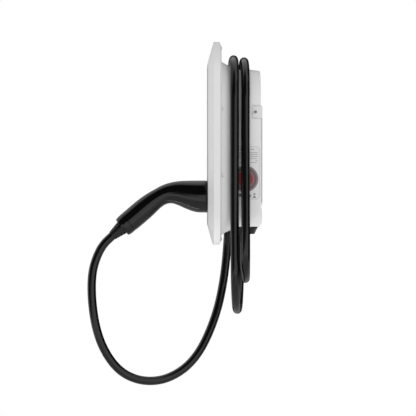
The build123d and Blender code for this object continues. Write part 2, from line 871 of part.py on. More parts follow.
output_x0 = gland_x - output_poles * pole_pitch / 2 - terminal_edge
save(terminal_block(output_x0, output_poles, output_wire_r), "output_terminals")
save(terminal_block(supply_x0, supply_poles, supply_wire_r), "supply_terminals")
terminal_screws = []
screw_top_depth = screw_seat_depth + terminal_screw_depth
for x0, poles in ((output_x0, output_poles), (supply_x0, supply_poles)):
    for i in range(poles):
        x = pole_x(x0, i)
        screw = bar_y(x, terminal_middle, terminal_screw_r, screw_seat_depth, screw_top_depth)
        slot_rear = -screw_top_depth + 0.8
        slot = box(
            x - 3, x + 3, -screw_top_depth - 1, slot_rear, terminal_middle - 0.4, terminal_middle + 0.4
        )
        terminal_screws.append(screw - slot)
save(group(terminal_screws), "terminal_screws")

# Cores of the cable, from the gland to the output terminals
cable_end = gland_seat + gland_inside + 1.5
cores = []
for i in range(output_poles):
    x = pole_x(output_x0, i)
    start = Vector(gland_x + (i - 2) * 2.3, gland_y - 3.6 * (i % 2) + 1.5, cable_end + 1.0)
    knee = Vector(x, wire_y, terminal_bottom - 4)
    end = Vector(x, wire_y, terminal_bottom + 8)
    way = Polyline(start, knee, end)
    section = Plane(origin=start, z_dir=knee - start) * Circle(core_r)
    cores.append(sweep(section, path=way, transition=Transition.ROUND))
save(group(cores), "cable_cores")

# Control board behind the front face, with the status lamps
control_rear = control_front - board_thickness
control_board = box(
    -control_width / 2, control_width / 2, -control_front, -control_rear, control_bottom, control_top
)
for x, z in control_spots:
    control_board -= bar_y(x, z, board_screw_r + 0.2, control_rear - 1, control_front + 1)
save(control_board, "control_board")
lamps = []
lamp_front = -light_rear + light_flange
lamp_half = lamp_width / 2
for x in (-lamp_pitch, 0.0, lamp_pitch):
    lamps.append(
        box(
            x - lamp_half,
            x + lamp_half,
            lamp_front,
            -control_front,
            light_height - lamp_half,
            light_height + lamp_half,
        )
    )
save(group(lamps), "status_lamps")
radio_top = control_top - radio_drop
radio_half = radio_width / 2
radio_rear = -control_rear + radio_depth
radio = box(-radio_half, radio_half, -control_rear, radio_rear, radio_top - radio_height, radio_top)
save(radio, "radio_module")

# Cable: out of the gland, twice round the body, then a hanging loop to the connector
cable_rest = 0.7
side_two = body_half + cable_r + cable_rest
side_one = body_half + 12.1
apex_two = 148.5
apex_one = 151.9
depth_two = -flare_start + 9.0
depth_one = -flare_start - 9.1
corner_sum = body_half + body_top - 2 * body_corner_top
reach_two = corner_sum + (body_corner_top + cable_r + cable_rest) * math.sqrt(2)
reach_one = corner_sum + (body_corner_top + 12.2) * math.sqrt(2)
cable_in_cap = 12.0
cable_lead_out = 52.0
tail_y = -handle_front - tail_reach
tail_z = holster_height + tail_rise
tail_point = (0.0, tail_y - cable_in_cap * axis_y, tail_z - cable_in_cap * axis_z)
cable_points = [
    (gland_x, gland_y, cable_end),
    (gland_x, gland_y, -177.7),
    (2.9, -26.8, -210.1),
    (42.4, -27.4, -220.5),
    (80.1, -28.2, -204.7),
    (100.3, -28.8, -169.2),
    (side_two, depth_two, -6.0),
    (side_two, depth_two, reach_two - side_two),
    (reach_two - apex_two, depth_two, apex_two),
    (apex_two - reach_two, depth_two, apex_two),
    (-side_two, depth_two, reach_two - side_two),
    (-side_two, depth_two - 0.6, -60.0),
    (-side_two, depth_two - 3.4, -224.4),
    (-30.9, depth_two - 7.5, -271.0),
    (34.9, depth_one + 5.1, -271.0),
    (side_one, depth_one + 1.3, -224.4),
    (side_one + 0.2, depth_one - 0.2, -100.0),
    (side_one, depth_one, reach_one - side_one),
    (reach_one - apex_one, depth_one, apex_one),
    (apex_one - reach_one, depth_one, apex_one),
    (-side_one, depth_one - 0.2, reach_one - side_one),
    (-side_one - 1.4, depth_one - 1.3, 0.0),
    (-side_one - 3.4, depth_one - 4.1, -125.0),
    (-82.0, -58.7, -220.9),
    (-73.4, -76.1, -295.1),
    (-49.7, -109.4, -361.1),
    (-30.5, -157.1, -393.5),
    (-15.4, -207.9, -394.6),
    (-4.3, -250.8, -367.4),
    (0.0, -280.0, -309.1),
    (0.0, -288.9, -216.5),
    (0.0, tail_y + cable_lead_out * axis_y, tail_z + cable_lead_out * axis_z),
    tail_point,
]
vectors = [Vector(*p) for p in cable_points]
radii = []
for a, b, c in zip(vectors, vectors[1:], vectors[2:]):
    turn = math.radians((b - a).get_angle(c - b))
    shorter = min((b - a).length, (c - b).length)
    radii.append(round(0.45 * shorter / math.tan(turn / 2), 2))
print("cable bend radii", radii)
cable_path = FilletPolyline(*cable_points, radius=radii)
charging_cable = sweep(
    Plane(origin=vectors[0], z_dir=vectors[1] - vectors[0]) * Circle(cable_r), path=cable_path
)
print("cable length", round(cable_path.length, 1))
plain_volume = math.pi * cable_r**2 * cable_path.length
print("cable volume over section by length", round(charging_cable.volume / plain_volume, 4))
save(charging_cable, "charging_cable")
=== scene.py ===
import functools

import bmesh
import bpy
from mathutils import Matrix, Vector


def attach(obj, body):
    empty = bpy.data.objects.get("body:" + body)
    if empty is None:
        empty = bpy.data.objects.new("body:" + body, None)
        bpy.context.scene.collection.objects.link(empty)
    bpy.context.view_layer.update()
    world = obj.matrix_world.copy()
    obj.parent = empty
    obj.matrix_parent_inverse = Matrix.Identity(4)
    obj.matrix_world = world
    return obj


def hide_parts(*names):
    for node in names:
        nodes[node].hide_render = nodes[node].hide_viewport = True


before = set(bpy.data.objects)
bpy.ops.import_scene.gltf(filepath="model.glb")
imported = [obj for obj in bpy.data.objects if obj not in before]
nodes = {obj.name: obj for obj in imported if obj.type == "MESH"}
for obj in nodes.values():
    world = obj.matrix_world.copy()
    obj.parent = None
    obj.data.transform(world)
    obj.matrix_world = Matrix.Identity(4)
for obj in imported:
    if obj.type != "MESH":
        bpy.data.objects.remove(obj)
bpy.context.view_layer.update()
scene = bpy.context.scene
scene.view_settings.view_transform = "Standard"
print("frame loaded with", len(nodes), "nodes")


# Small helpers for node trees
def addNode(tree, kind, **settings):
    node = tree.nodes.new(kind)
    for key, value in settings.items():
        setattr(node, key, value)
    return node


def setSockets(node, **values):
    for key, value in values.items():
        node.inputs[key.replace("_", " ")].default_value = value


def newGroup(name, sockets):
    group = bpy.data.node_groups.new(name, "ShaderNodeTree")
    for title, direction, kind in sockets:
        group.interface.new_socket(name=title, in_out=direction, socket_type=kind)
    source = addNode(group, "NodeGroupInput")
    sink = addNode(group, "NodeGroupOutput")
    return group, source, sink


# Moulded finish: a slow drift of tone, and a fine grain that varies gloss and height
moulding = {
    "driftScale": 9.0,
    "driftDetail": 3.0,
    "driftRoughness": 0.55,
    "grainDetail": 2.0,
    "grainRoughness": 0.6,
    "grainSpan": (0.25, 0.75),  # part of the grain's range that runs from low to high gloss
    "bumpStrength": 1.0,
}


def buildMouldedFinish():
    group, source, sink = newGroup(
        "mouldedFinish",
        [
            ("Vector", "INPUT", "NodeSocketVector"),
            ("Tone Dark", "INPUT", "NodeSocketColor"),
            ("Tone Light", "INPUT", "NodeSocketColor"),
            ("Drift Scale", "INPUT", "NodeSocketFloat"),
            ("Gloss Low", "INPUT", "NodeSocketFloat"),
            ("Gloss High", "INPUT", "NodeSocketFloat"),
            ("Grain Scale", "INPUT", "NodeSocketFloat"),
            ("Color", "OUTPUT", "NodeSocketColor"),
            ("Roughness", "OUTPUT", "NodeSocketFloat"),
            ("Height", "OUTPUT", "NodeSocketFloat"),
        ],
    )
    drift = addNode(group, "ShaderNodeTexNoise")
    setSockets(drift, Detail=moulding["driftDetail"], Roughness=moulding["driftRoughness"])
    grain = addNode(group, "ShaderNodeTexNoise")
    setSockets(grain, Detail=moulding["grainDetail"], Roughness=moulding["grainRoughness"])
    blend = addNode(group, "ShaderNodeMix", data_type="RGBA")
    gloss = addNode(group, "ShaderNodeMapRange")
    setSockets(gloss, From_Min=moulding["grainSpan"][0], From_Max=moulding["grainSpan"][1])
    link = group.links.new
    link(source.outputs["Vector"], drift.inputs["Vector"])
    link(source.outputs["Drift Scale"], drift.inputs["Scale"])
    link(source.outputs["Vector"], grain.inputs["Vector"])
    link(source.outputs["Grain Scale"], grain.inputs["Scale"])
    link(drift.outputs["Fac"], blend.inputs["Factor"])
    link(source.outputs["Tone Dark"], blend.inputs["A"])
    link(source.outputs["Tone Light"], blend.inputs["B"])
    link(grain.outputs["Fac"], gloss.inputs["Value"])
    link(source.outputs["Gloss Low"], gloss.inputs["To Min"])
    link(source.outputs["Gloss High"], gloss.inputs["To Max"])
    link(blend.outputs["Result"], sink.inputs["Color"])
    link(gloss.outputs["Result"], sink.inputs["Roughness"])
    link(grain.outputs["Fac"], sink.inputs["Height"])
    return group


# Flat field: a mask of what lies at one distance along a direction, on either side of the origin
def buildFlatField():
    group, source, sink = newGroup(
        "flatField",
        [
            ("Vector", "INPUT", "NodeSocketVector"),
            ("Way", "INPUT", "NodeSocketVector"),
            ("At", "INPUT", "NodeSocketFloat"),
            ("Within", "INPUT", "NodeSocketFloat"),
            ("Mask", "OUTPUT", "NodeSocketFloat"),
        ],
    )
    along = addNode(group, "ShaderNodeVectorMath", operation="DOT_PRODUCT")
    reach = addNode(group, "ShaderNodeMath", operation="ABSOLUTE")
    covered = addNode(group, "ShaderNodeMath", operation="COMPARE")
    link = group.links.new
    link(source.outputs["Vector"], along.inputs[0])
    link(source.outputs["Way"], along.inputs[1])
    link(along.outputs["Value"], reach.inputs[0])
    link(reach.outputs["Value"], covered.inputs[0])
    link(source.outputs["At"], covered.inputs[1])
    link(source.outputs["Within"], covered.inputs[2])
    link(covered.outputs["Value"], sink.inputs["Mask"])
    return group


mouldedFinish = buildMouldedFinish()
flatField = buildFlatField()


# Plain rings of colour about a spot on the side of the body
def ringTones(tree, place, rings):
    centred = addNode(tree, "ShaderNodeMapping", vector_type="TEXTURE")
    setSockets(centred, Location=(0.0, *rings["spot"]))
    flat = addNode(tree, "ShaderNodeVectorMath", operation="MULTIPLY")
    flat.inputs[1].default_value = (0.0, 1.0 / rings["radius"], 1.0 / rings["radius"])
    reach = addNode(tree, "ShaderNodeVectorMath", operation="LENGTH")
    ramp = addNode(tree, "ShaderNodeValToRGB")
    ramp.color_ramp.interpolation = "CONSTANT"
    stops = ramp.color_ramp.elements
    while len(stops) < len(rings["steps"]):
        stops.new(0.5)  # moved to its place below
    for stop, (start, colour) in zip(stops, rings["steps"]):
        stop.position = start
        stop.color = (*colour, 1.0)
    link = tree.links.new
    link(place.outputs["Object"], centred.inputs["Vector"])
    link(centred.outputs["Vector"], flat.inputs[0])
    link(flat.outputs["Vector"], reach.inputs[0])
    link(reach.outputs["Value"], ramp.inputs["Fac"])
    return ramp.outputs["Color"]


# One material from its dictionary: tones, gloss, grain and depth, and what else the finish needs
def shade(name, facts):
    material = bpy.data.materials.new(name)
    material.use_nodes = True
    tree = material.node_tree
    tree.nodes.clear()
    link = tree.links.new
    out = addNode(tree, "ShaderNodeOutputMaterial")
    surface = addNode(tree, "ShaderNodeBsdfPrincipled")
    place = addNode(tree, "ShaderNodeTexCoord")
    finish = addNode(tree, "ShaderNodeGroup", node_tree=mouldedFinish)
    bump = addNode(tree, "ShaderNodeBump")
    metallic = facts.get("metallic", 0.0)
    setSockets(finish, Tone_Dark=(*facts["tones"][0], 1.0), Tone_Light=(*facts["tones"][1], 1.0))
    setSockets(finish, Gloss_Low=facts["gloss"][0], Gloss_High=facts["gloss"][1])
    setSockets(finish, Grain_Scale=facts["grain"], Drift_Scale=facts.get("drift", moulding["driftScale"]))
    setSockets(bump, Strength=moulding["bumpStrength"], Distance=facts["depth"])
    setSockets(surface, Metallic=metallic)
    if "stretch" in facts:
        drawn = addNode(tree, "ShaderNodeMapping")
        setSockets(drawn, Scale=facts["stretch"])
        link(place.outputs["Object"], drawn.inputs["Vector"])
        link(drawn.outputs["Vector"], finish.inputs["Vector"])
    else:
        link(place.outputs["Object"], finish.inputs["Vector"])
    colour = finish.outputs["Color"]
    if "field" in facts:
        field = facts["field"]
        mask = addNode(tree, "ShaderNodeGroup", node_tree=flatField)
        setSockets(mask, Way=field["way"], At=field["at"], Within=field["within"])
        link(place.outputs["Object"], mask.inputs["Vector"])
        if "tint" in field:
            tinted = addNode(tree, "ShaderNodeMix", data_type="RGBA", blend_type="MULTIPLY")
            setSockets(tinted, B=(*field["tint"], 1.0))
            link(mask.outputs["Mask"], tinted.inputs["Factor"])
            link(colour, tinted.inputs["A"])
            colour = tinted.outputs["Result"]
        if "paintedShadeMetallic" in field:  # painted shade: on black, a metallic share takes the reflection away, so the masked band looks as dark as a shaded recess
            paintedShadeMetal = addNode(tree, "ShaderNodeMapRange")
            setSockets(paintedShadeMetal, To_Min=metallic, To_Max=field["paintedShadeMetallic"])
            link(mask.outputs["Mask"], paintedShadeMetal.inputs["Value"])
            link(paintedShadeMetal.outputs["Result"], surface.inputs["Metallic"])
    if "rings" in facts:
        inked = addNode(tree, "ShaderNodeMix", data_type="RGBA", blend_type="MULTIPLY")
        setSockets(inked, Factor=1.0)
        link(colour, inked.inputs["A"])
        link(ringTones(tree, place, facts["rings"]), inked.inputs["B"])
        colour = inked.outputs["Result"]
    if "glow" in facts:
        setSockets(surface, Emission_Color=(*facts["glow"][0], 1.0), Emission_Strength=facts["glow"][1])
    link(colour, surface.inputs["Base Color"])
    link(finish.outputs["Roughness"], surface.inputs["Roughness"])
    link(finish.outputs["Height"], bump.inputs["Height"])
    link(bump.outputs["Normal"], surface.inputs["Normal"])
    link(surface.outputs["BSDF"], out.inputs["Surface"])
    return material


def dress(looks):
    for name, facts in looks.items():
        material = shade(name, facts)
        for piece in facts["pieces"]:
            for holder in nodes[piece].material_slots:
                holder.material = material


# Cover and housing: pale satin mouldings, with a greyer field on the cover's flat front
satin = {"gloss": (0.42, 0.52), "grain": 1900.0, "depth": 0.00001}
shell = {
    "coverSatin": {
        **satin,
        "pieces": ("front_cover",),
        "tones": ((0.835, 0.836, 0.838), (0.860, 0.861, 0.863)),
        "field": {"way": (0.0, 1.0, 0.0), "at": 0.0899, "within": 0.00005, "tint": (0.615, 0.617, 0.620)},
    },
    "housingSatin": {
        **satin,
        "pieces": ("main_housing",),
        "tones": ((0.830, 0.831, 0.833), (0.855, 0.856, 0.858)),
    },
}
dress(shell)
print("shell dressed")

# Bracket: powder coat with a soft orange peel, and a painted shadow line along its edge by the body, where
# the gap between body and bracket lies in shade
bracket = {
    "bracketCoatAndShadowLine": {
        "pieces": ("wall_bracket",),
        "tones": ((0.82, 0.82, 0.823), (0.85, 0.85, 0.853)),
        "gloss": (0.45, 0.6),
        "grain": 900.0,
        "depth": 0.00002,
        # painted shadow: a greyer band on the bracket's edge by the body stands in for the shade in the gap
        # there
        "field": {"way": (1.0, 0.0, 0.0), "at": 0.066, "within": 0.0005, "tint": (0.62, 0.62, 0.622)},
    },
}
dress(bracket)

# Fasteners and other metal, with a grain that is finer along the depth of the box
drawnMetal = {"gloss": (0.25, 0.42), "grain": 1400.0, "depth": 0.000004, "stretch": (1.0, 6.0, 1.0)}
fasteners = {
    "zincPlate": {
        **drawnMetal,
        "pieces": ("board_screws", "terminal_screws", "radio_module"),
        "tones": ((0.52, 0.53, 0.54), (0.66, 0.66, 0.66)),
        "metallic": 1.0,
    },
    "dullZinc": {
        **drawnMetal,
        "pieces": ("ear_screws",),
        "tones": ((0.28, 0.28, 0.285), (0.36, 0.36, 0.365)),
        "metallic": 0.6,
    },
    "coatedSteel": {
        **drawnMetal,
        "pieces": ("cover_screws",),
        "tones": ((0.62, 0.62, 0.625), (0.68, 0.68, 0.685)),
        "metallic": 0.25,
    },
    "silverPlate": {
        **drawnMetal,
        "pieces": ("connector_contacts",),
        "tones": ((0.70, 0.68, 0.60), (0.82, 0.80, 0.74)),
        "metallic": 1.0,
    },
}
dress(fasteners)
print("bracket and fasteners dressed")

# Connector, holster and gland: satin black shells, a softer grip, rubber boot and seals
satinBlack = {
    "tones": ((0.0010, 0.0010, 0.0010), (0.0020, 0.0020, 0.0020)),
    "gloss": (0.10, 0.14),
    "grain": 2100.0,
    "depth": 0.000004,
}
connector = {
    "connectorSatin": {
        **satinBlack,
        "pieces": (
            "connector_top_cap",
            "connector_handle",
            "connector_nose",
            "holster_cup",
            "gland_body",
            "gland_nut",
            "gland_locknut",
        ),
    },
    "capSatinWithGrooveShade": {  # painted shade in the groove before the end cap: its reflection is taken away, as if shade fell there
        **satinBlack,
        "pieces": ("connector_end_cap",),
        "field": {"way": (0.0, 0.766, 0.643), "at": 0.2502, "within": 0.0007, "paintedShadeMetallic": 0.4},
    },
    "gripSoft": {
        "pieces": ("connector_grip",),
        "tones": ((0.0020, 0.0020, 0.0020), (0.0035, 0.0035, 0.0035)),
        "gloss": (0.18, 0.24),
        "grain": 1300.0,
        "depth": 0.000004,
    },
    "bootRubberWithWindowShade": {  # painted shade at the bottom of the boot's windows: their reflection is taken away, as if shade fell in them
        "pieces": ("strain_relief_boot", "cover_seal", "gland_seal"),
        "tones": ((0.0015, 0.0015, 0.0015), (0.0030, 0.0030, 0.0030)),
        "gloss": (0.30, 0.40),
        "grain": 1300.0,
        "depth": 0.000004,
        "field": {"way": (1.0, 0.0, 0.0), "at": 0.001, "within": 0.00006, "paintedShadeMetallic": 1.0},
    },
    "paleRubber": {
        "pieces": ("supply_grommet",),
        "tones": ((0.64, 0.64, 0.645), (0.70, 0.70, 0.705)),
        "gloss": (0.55, 0.65),
        "grain": 1300.0,
        "depth": 0.000004,
    },
}
dress(connector)
print("connector and gland dressed")

# Status light: green lens lit from behind
statusLight = {
    "greenLens": {
        "pieces": ("status_light_lens",),
        "tones": ((0.03, 0.40, 0.10), (0.05, 0.52, 0.14)),
        "gloss": (0.12, 0.2),
        "grain": 700.0,
        "depth": 0.000004,
        "glow": ((0.05, 0.75, 0.18), 0.9),
    },
}
dress(statusLight)

# Pieces inside the housing
innerFinish = {"gloss": (0.35, 0.55), "grain": 1200.0, "depth": 0.00001}
innerPieces = {
    "boardMask": {
        **innerFinish,
        "pieces": ("power_board", "control_board"),
        "tones": ((0.02, 0.16, 0.05), (0.03, 0.22, 0.08)),
    },
    "relayCase": {
        **innerFinish,
        "pieces": ("relay_1", "relay_2", "relay_3", "relay_4"),
        "tones": ((0.015, 0.015, 0.016), (0.03, 0.03, 0.032)),
    },
    "sensorCase": {
        **innerFinish,
        "pieces": ("current_sensor",),
        "tones": ((0.02, 0.05, 0.16), (0.03, 0.07, 0.22)),
    },
    "ferrite": {
        **innerFinish,
        "pieces": ("transformer_core",),
        "tones": ((0.03, 0.03, 0.03), (0.06, 0.06, 0.06)),
    },
    "winding": {
        **innerFinish,
        "pieces": ("transformer_bobbin",),
        "tones": ((0.42, 0.26, 0.03), (0.55, 0.36, 0.06)),
    },
    "canSleeve": {
        **innerFinish,
        "pieces": ("capacitors",),
        "tones": ((0.015, 0.02, 0.06), (0.03, 0.035, 0.09)),
    },
    "terminalNylon": {
        **innerFinish,
        "pieces": ("output_terminals", "supply_terminals"),
        "tones": ((0.10, 0.28, 0.12), (0.13, 0.34, 0.16)),
    },
    "coreSheath": {
        **innerFinish,
        "pieces": ("cable_cores",),
        "tones": ((0.22, 0.12, 0.05), (0.30, 0.18, 0.08)),
    },
    "lampBody": {
        **innerFinish,
        "pieces": ("status_lamps",),
        "tones": ((0.75, 0.75, 0.70), (0.85, 0.85, 0.80)),
    },
}
dress(innerPieces)
print("inner pieces dressed")

# Cable: one smooth line, drawn by the route's points from the gland to the connector
cable = {
    "diameter": 0.0145,
    "length": 2.628,
    "roundSteps": 8,
    "lineSteps": 14,
    "lineOrder": 3,
    "sheath": {
        "tones": ((0.0012, 0.0012, 0.0012), (0.0024, 0.0024, 0.0024)),
        "gloss": (0.15, 0.20),
        "grain": 1500.0,
        "depth": 0.000006,
    },
    "route": [
        (-0.0220, -0.0260, -0.1180),  # out of the gland and down
        (-0.0220, -0.0260, -0.1500),
        (-0.0220, -0.0260, -0.1777),
        (0.0029, -0.0268, -0.2101),
        (0.0424, -0.0274, -0.2205),
        (0.0801, -0.0282, -0.2047),
        (0.1003, -0.0288, -0.1692),  # up the right side, first turn
        (0.0806, -0.0286, -0.0260),
        (0.0780, -0.0286, 0.0620),
        (0.0780, -0.0282, 0.1075),
        (0.03695, -0.0281, 0.1485),
        (-0.03695, -0.0290, 0.1485),
        (-0.0780, -0.0290, 0.1075),
        (-0.0780, -0.0290, 0.0620),
        (-0.0780, -0.0296, -0.0600),
        (-0.0780, -0.0320, -0.1700),
        (-0.07795, -0.0324, -0.2244),
        (-0.0309, -0.0365, -0.2710),
        (0.0349, -0.0420, -0.2710),
        (0.0821, -0.0458, -0.2244),  # up the right side, second turn
        (0.0822, -0.0461, -0.1700),
        (0.0823, -0.0467, -0.0600),
        (0.0821, -0.0466, 0.0620),
        (0.0821, -0.0466, 0.10936),
        (0.03956, -0.0456, 0.1519),
        (-0.03956, -0.0471, 0.1519),
        (-0.0821, -0.0473, 0.10936),
        (-0.0824, -0.0475, 0.0620),
        (-0.0835, -0.0484, 0.0000),
        (-0.0855, -0.0512, -0.1250),
        (-0.0820, -0.0587, -0.2209),  # hanging loop to the connector
        (-0.0734, -0.0761, -0.2951),
        (-0.0497, -0.1094, -0.3611),
        (-0.0305, -0.1571, -0.3935),
        (-0.0154, -0.2079, -0.3946),
        (-0.0043, -0.2494, -0.3688),
        (0.0000, -0.2800, -0.3091),
        (0.0000, -0.2888, -0.2190),
        (0.0000, -0.2735, -0.1685),
        (0.0000, -0.2494, -0.1440),
        (0.0000, -0.225107, -0.124387),
    ],
}


def buildCable():
    line = bpy.data.curves.new("charging_lead", "CURVE")
    line.dimensions = "3D"
    line.bevel_depth = cable["diameter"] / 2
    line.bevel_resolution = cable["roundSteps"]
    line.resolution_u = cable["lineSteps"]
    line.use_fill_caps = True
    run = line.splines.new("NURBS")
    run.points.add(len(cable["route"]) - 1)
    for spot, place in zip(run.points, cable["route"]):
        spot.co = (*place, 1.0)
    run.order_u = cable["lineOrder"]
    run.use_endpoint_u = True
    piece = bpy.data.objects.new("charging_lead", line)
    scene.collection.objects.link(piece)
    return piece


lead = buildCable()
lead.data.materials.append(shade("cableSheath", cable["sheath"]))
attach(lead, "root")
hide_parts("charging_cable")
print("cable laid")

# Label on the side of the body: a bare plate with a thin border, plain bars and blocks
film = {"gloss": (0.40, 0.5), "grain": 1600.0, "depth": 0.000004}
label = {
    "front": -0.0521,
    "rear": -0.0047,
    "top": 0.0025,
    "bottom": -0.0850,
    "corner": 0.0050,
    "cornerSteps": 6,
    "line": 0.0009,
    "plateLift": 0.00006,
    "printLift": 0.00012,
    "probeStart": 0.2,  # well outside the body, on its right
    "bends": (-0.018, -0.030, -0.038, -0.041, -0.044, -0.047, -0.050),
    "bars": (  # front, rear, height of the middle, tallness
        (-0.0440, -0.0138, -0.0024, 0.0016),
        (-0.0460, -0.0078, -0.0075, 0.0013),
        (-0.0460, -0.0078, -0.0108, 0.0013),
        (-0.0460, -0.0078, -0.0141, 0.0013),
        (-0.0460, -0.0092, -0.0174, 0.0011),
        (-0.0117, -0.0078, -0.0206, 0.0011),
        (-0.0460, -0.0092, -0.0239, 0.0011),
    ),
    "blocks": (
        (-0.0156, -0.0112, -0.0812, 0.0026),
        (-0.0148, -0.0120, -0.0764, 0.0030),
        (-0.0214, -0.0188, -0.0790, 0.0034),
        (-0.0392, -0.0350, -0.0780, 0.0060),
    ),
    "plateInk": {**film, "tones": ((0.79, 0.79, 0.792), (0.82, 0.82, 0.822))},
    "lineInk": {**film, "tones": ((0.52, 0.52, 0.525), (0.57, 0.57, 0.575))},
    "barInk": {**film, "tones": ((0.44, 0.44, 0.45), (0.49, 0.49, 0.50))},
    "blockInk": {**film, "tones": ((0.16, 0.16, 0.165), (0.20, 0.20, 0.205))},
}
body = nodes["main_housing"]
faceRight = Matrix(((0, 0, 1, 0), (1, 0, 0, 0), (0, 1, 0, 0), (0, 0, 0, 1)))


def sideReach(y, z):
    start = Vector((label["probeStart"], y, z))
    hit = body.ray_cast(start, Vector((-1.0, 0.0, 0.0)))
    return hit[1].x


def layOnSide(sheet, lift):
    for bend in label["bends"]:
        everything = sheet.verts[:] + sheet.edges[:] + sheet.faces[:]
        bmesh.ops.bisect_plane(sheet, geom=everything, plane_co=(0.0, bend, 0.0), plane_no=(0.0, 1.0, 0.0))
    for vert in sheet.verts:
        vert.co.x = sideReach(vert.co.y, vert.co.z) + lift


def flatSheet(front, rear, bottom, top, corner):
    sheet = bmesh.new()
    bmesh.ops.create_grid(sheet, x_segments=1, y_segments=1, size=0.5)  # one unit across
    bmesh.ops.transform(sheet, matrix=faceRight, verts=sheet.verts)
    bmesh.ops.scale(sheet, vec=(1.0, rear - front, top - bottom), verts=sheet.verts)
    bmesh.ops.translate(sheet, vec=(0.0, (front + rear) / 2, (bottom + top) / 2), verts=sheet.verts)
    if corner:
        bmesh.ops.bevel(
            sheet,
            geom=sheet.verts[:],
            offset=corner,
            segments=label["cornerSteps"],
            profile=0.5,
            affect="VERTICES",
            material=-1,
        )
    return sheet


def plateSheet():
    return flatSheet(label["front"], label["rear"], label["bottom"], label["top"], label["corner"])


def sidePiece(name, sheet, lift, material):
    layOnSide(sheet, lift)
    bmesh.ops.recalc_face_normals(sheet, faces=sheet.faces)
    for face in sheet.faces:
        if face.normal.x < 0:
            face.normal_flip()
    mesh = bpy.data.meshes.new(name)
    sheet.to_mesh(mesh)
    sheet.free()
    piece = bpy.data.objects.new(name, mesh)
    scene.collection.objects.link(piece)
    mesh.materials.append(material)
    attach(piece, "root")


def printRow(name, rows, material):
    for count, (front, rear, height, tall) in enumerate(rows):
        sheet = flatSheet(front, rear, height - tall / 2, height + tall / 2, 0.0)
        sidePiece(name + str(count + 1), sheet, label["printLift"], material)


sidePiece("label_plate", plateSheet(), label["plateLift"], shade("labelFilm", label["plateInk"]))

borderSheet = plateSheet()
bmesh.ops.inset_region(
    borderSheet, faces=borderSheet.faces[:], thickness=label["line"], use_boundary=True, use_even_offset=True
)
middle = max(borderSheet.faces, key=lambda face: face.calc_area())
bmesh.ops.delete(borderSheet, geom=[middle], context="FACES")
sidePiece("label_border", borderSheet, label["printLift"], shade("labelLine", label["lineInk"]))

printRow("label_bar_", label["bars"], shade("labelBar", label["barInk"]))
printRow("label_block_", label["blocks"], shade("labelBlock", label["blockInk"]))

# Round mark on the label: plain rings of colour about its centre
mark = {
    "spot": (-0.0288, -0.0511),
    "radius": 0.0220,
    "sides": 64,
    "tones": ((0.96, 0.96, 0.96), (1.0, 1.0, 1.0)),
    "steps": (  # start as a share of the radius, colour
        (0.00, (0.355, 0.038, 0.038)),
        (0.58, (0.220, 0.168, 0.168)),
        (0.72, (0.145, 0.094, 0.094)),
        (0.83, (0.225, 0.165, 0.165)),
        (0.91, (0.300, 0.262, 0.262)),
    ),
}
markSheet = bmesh.new()
bmesh.ops.create_circle(markSheet, cap_ends=True, segments=mark["sides"], radius=mark["radius"])
bmesh.ops.transform(markSheet, matrix=faceRight, verts=markSheet.verts)
bmesh.ops.translate(markSheet, vec=(0.0, *mark["spot"]), verts=markSheet.verts)
markInk = shade("markInk", {**film, "tones": mark["tones"], "rings": mark})
sidePiece("label_mark", markSheet, label["printLift"], markInk)
print("label laid")

# Pale floor, well below the box
ground = {
    "level": -1.15,
    "half": 2.2,
    "tones": ((0.90, 0.90, 0.90), (0.93, 0.93, 0.93)),
    "gloss": (0.7, 0.8),
    "grain": 60.0,
    "depth": 0.0001,
    "drift": 1.5,
}
groundSheet = bmesh.new()
bmesh.ops.create_grid(groundSheet, x_segments=1, y_segments=1, size=ground["half"])
bmesh.ops.translate(groundSheet, vec=(0.0, 0.0, ground["level"]), verts=groundSheet.verts)
groundMesh = bpy.data.meshes.new("floor")
groundSheet.to_mesh(groundMesh)
groundSheet.free()
groundMesh.materials.append(shade("paleFloor", ground))
floorPiece = bpy.data.objects.new("floor", groundMesh)
scene.collection.objects.link(floorPiece)
print("floor laid")

# Soft studio light: a white sky with darker gaps, and two lamps low down
plainGap = {"lean": (0.0, 0.0, 0.0), "footSlant": (0.0, 0.0, 1.0), "headSlant": (0.0, 0.0, 1.0)}
studio = {
    "strength": 1.270,
    "white": (1.0, 1.0, 1.0, 1.0),
    "gapTone": (0.03, 0.03, 0.03, 1.0),
    "gaps": {  # about a heading and between foot and head, with a share of soft and of mirrored light
        "front": {
            "heading": (0.848, -0.530, 0.0),
            "spread": (0.50, 0.80),
            "lean": (0.127, -0.080, 0.0),
            "footSlant": (0.0, -0.35, 1.0),
            "foot": (0.02, 0.07),
            "headSlant": (-1.0, 0.0, 0.0),
            "head": (-0.25, 0.32),
            "soft": 0.60,
            "gloss": 1.0,
        },
        "frontLow": {
            **plainGap,
            "heading": (0.342, -0.940, 0.0),
            "spread": (0.60, 0.90),
            "foot": (-0.30, 0.0),
            "head": (0.90, 1.15),
            "soft": 0.60,
            "gloss": 0.0,
        },
        "rear": {
            **plainGap,
            "heading": (-0.906, 0.423, 0.0),
            "spread": (0.40, 0.70),
            "footSlant": (0.0, -0.40, 1.0),
            "foot": (-0.60, -0.40),
            "headSlant": (0.0, -0.40, 1.0),
            "head": (0.42, 0.80),
            "soft": 0.85,
            "gloss": 1.0,
        },
        "wall": {
            **plainGap,
            "heading": (0.0, 1.0, 0.0),
            "spread": (0.80, 0.95),
            "foot": (-0.60, -0.30),
            "head": (0.50, 0.80),
            "soft": 0.40,
            "gloss": 1.0,
        },
        "crown": {  # all round and up to the top, so its spread and head lie out of reach
            **plainGap,
            "heading": (0.0, 0.0, 1.0),
            "spread": (-1.0, -0.5),
            "foot": (0.50, 0.90),
            "head": (2.0, 3.0),
            "soft": 0.60,
            "gloss": 0.0,
        },
    },
    "lamps": {
        "lowLamp": {
            "place": (0.9, 0.35, -0.75),
            "aim": (0.05, -0.03, -0.15),
            "size": 0.8,
            "power": 0.4,
            "mirrored": True,
        },
        "underLamp": {
            "place": (0.0, -0.05, -1.05),
            "aim": (0.0, -0.05, 0.0),
            "size": 1.4,
            "power": 6.8,
            "mirrored": False,
        },
    },
}


